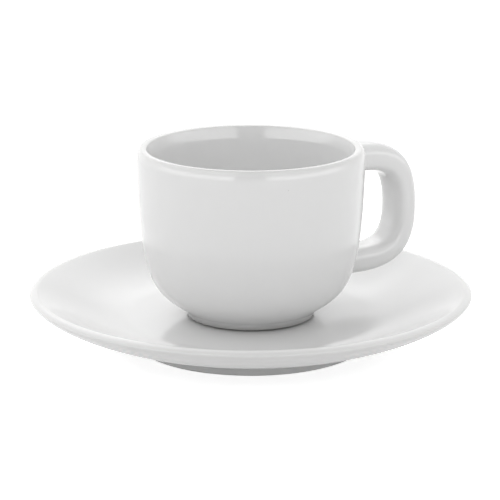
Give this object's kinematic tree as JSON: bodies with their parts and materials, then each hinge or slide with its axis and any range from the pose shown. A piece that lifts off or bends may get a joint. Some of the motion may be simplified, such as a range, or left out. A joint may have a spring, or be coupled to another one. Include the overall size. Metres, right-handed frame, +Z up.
{
  "type": "espresso cup with saucer",
  "caption": "Small round white porcelain espresso cup with a strap handle, standing in the well of a wide flared saucer.",
  "frame": {"origin": "centre of the saucer's base, on the table", "axes": "+Z up along the axis of the cup and saucer, +X towards the cup's handle, which lies in the XZ plane"},
  "size_m": [0.124, 0.124, 0.056],
  "materials": {
    "glaze": "gloss",
    "bare": "matte"
  },
  "bodies": {
    "saucer": {"saucer_plate": "glaze", "saucer_foot_ring": "bare"},
    "cup": {"cup_bowl": "glaze", "cup_foot_ring": "bare", "cup_handle": "glaze"}
  },
  "joints": [
    {"name": "cup_lift", "type": "slide", "parent": "saucer", "child": "cup", "axis": [0, 0, 1], "range_m": [0, 0.06]}
  ]
}
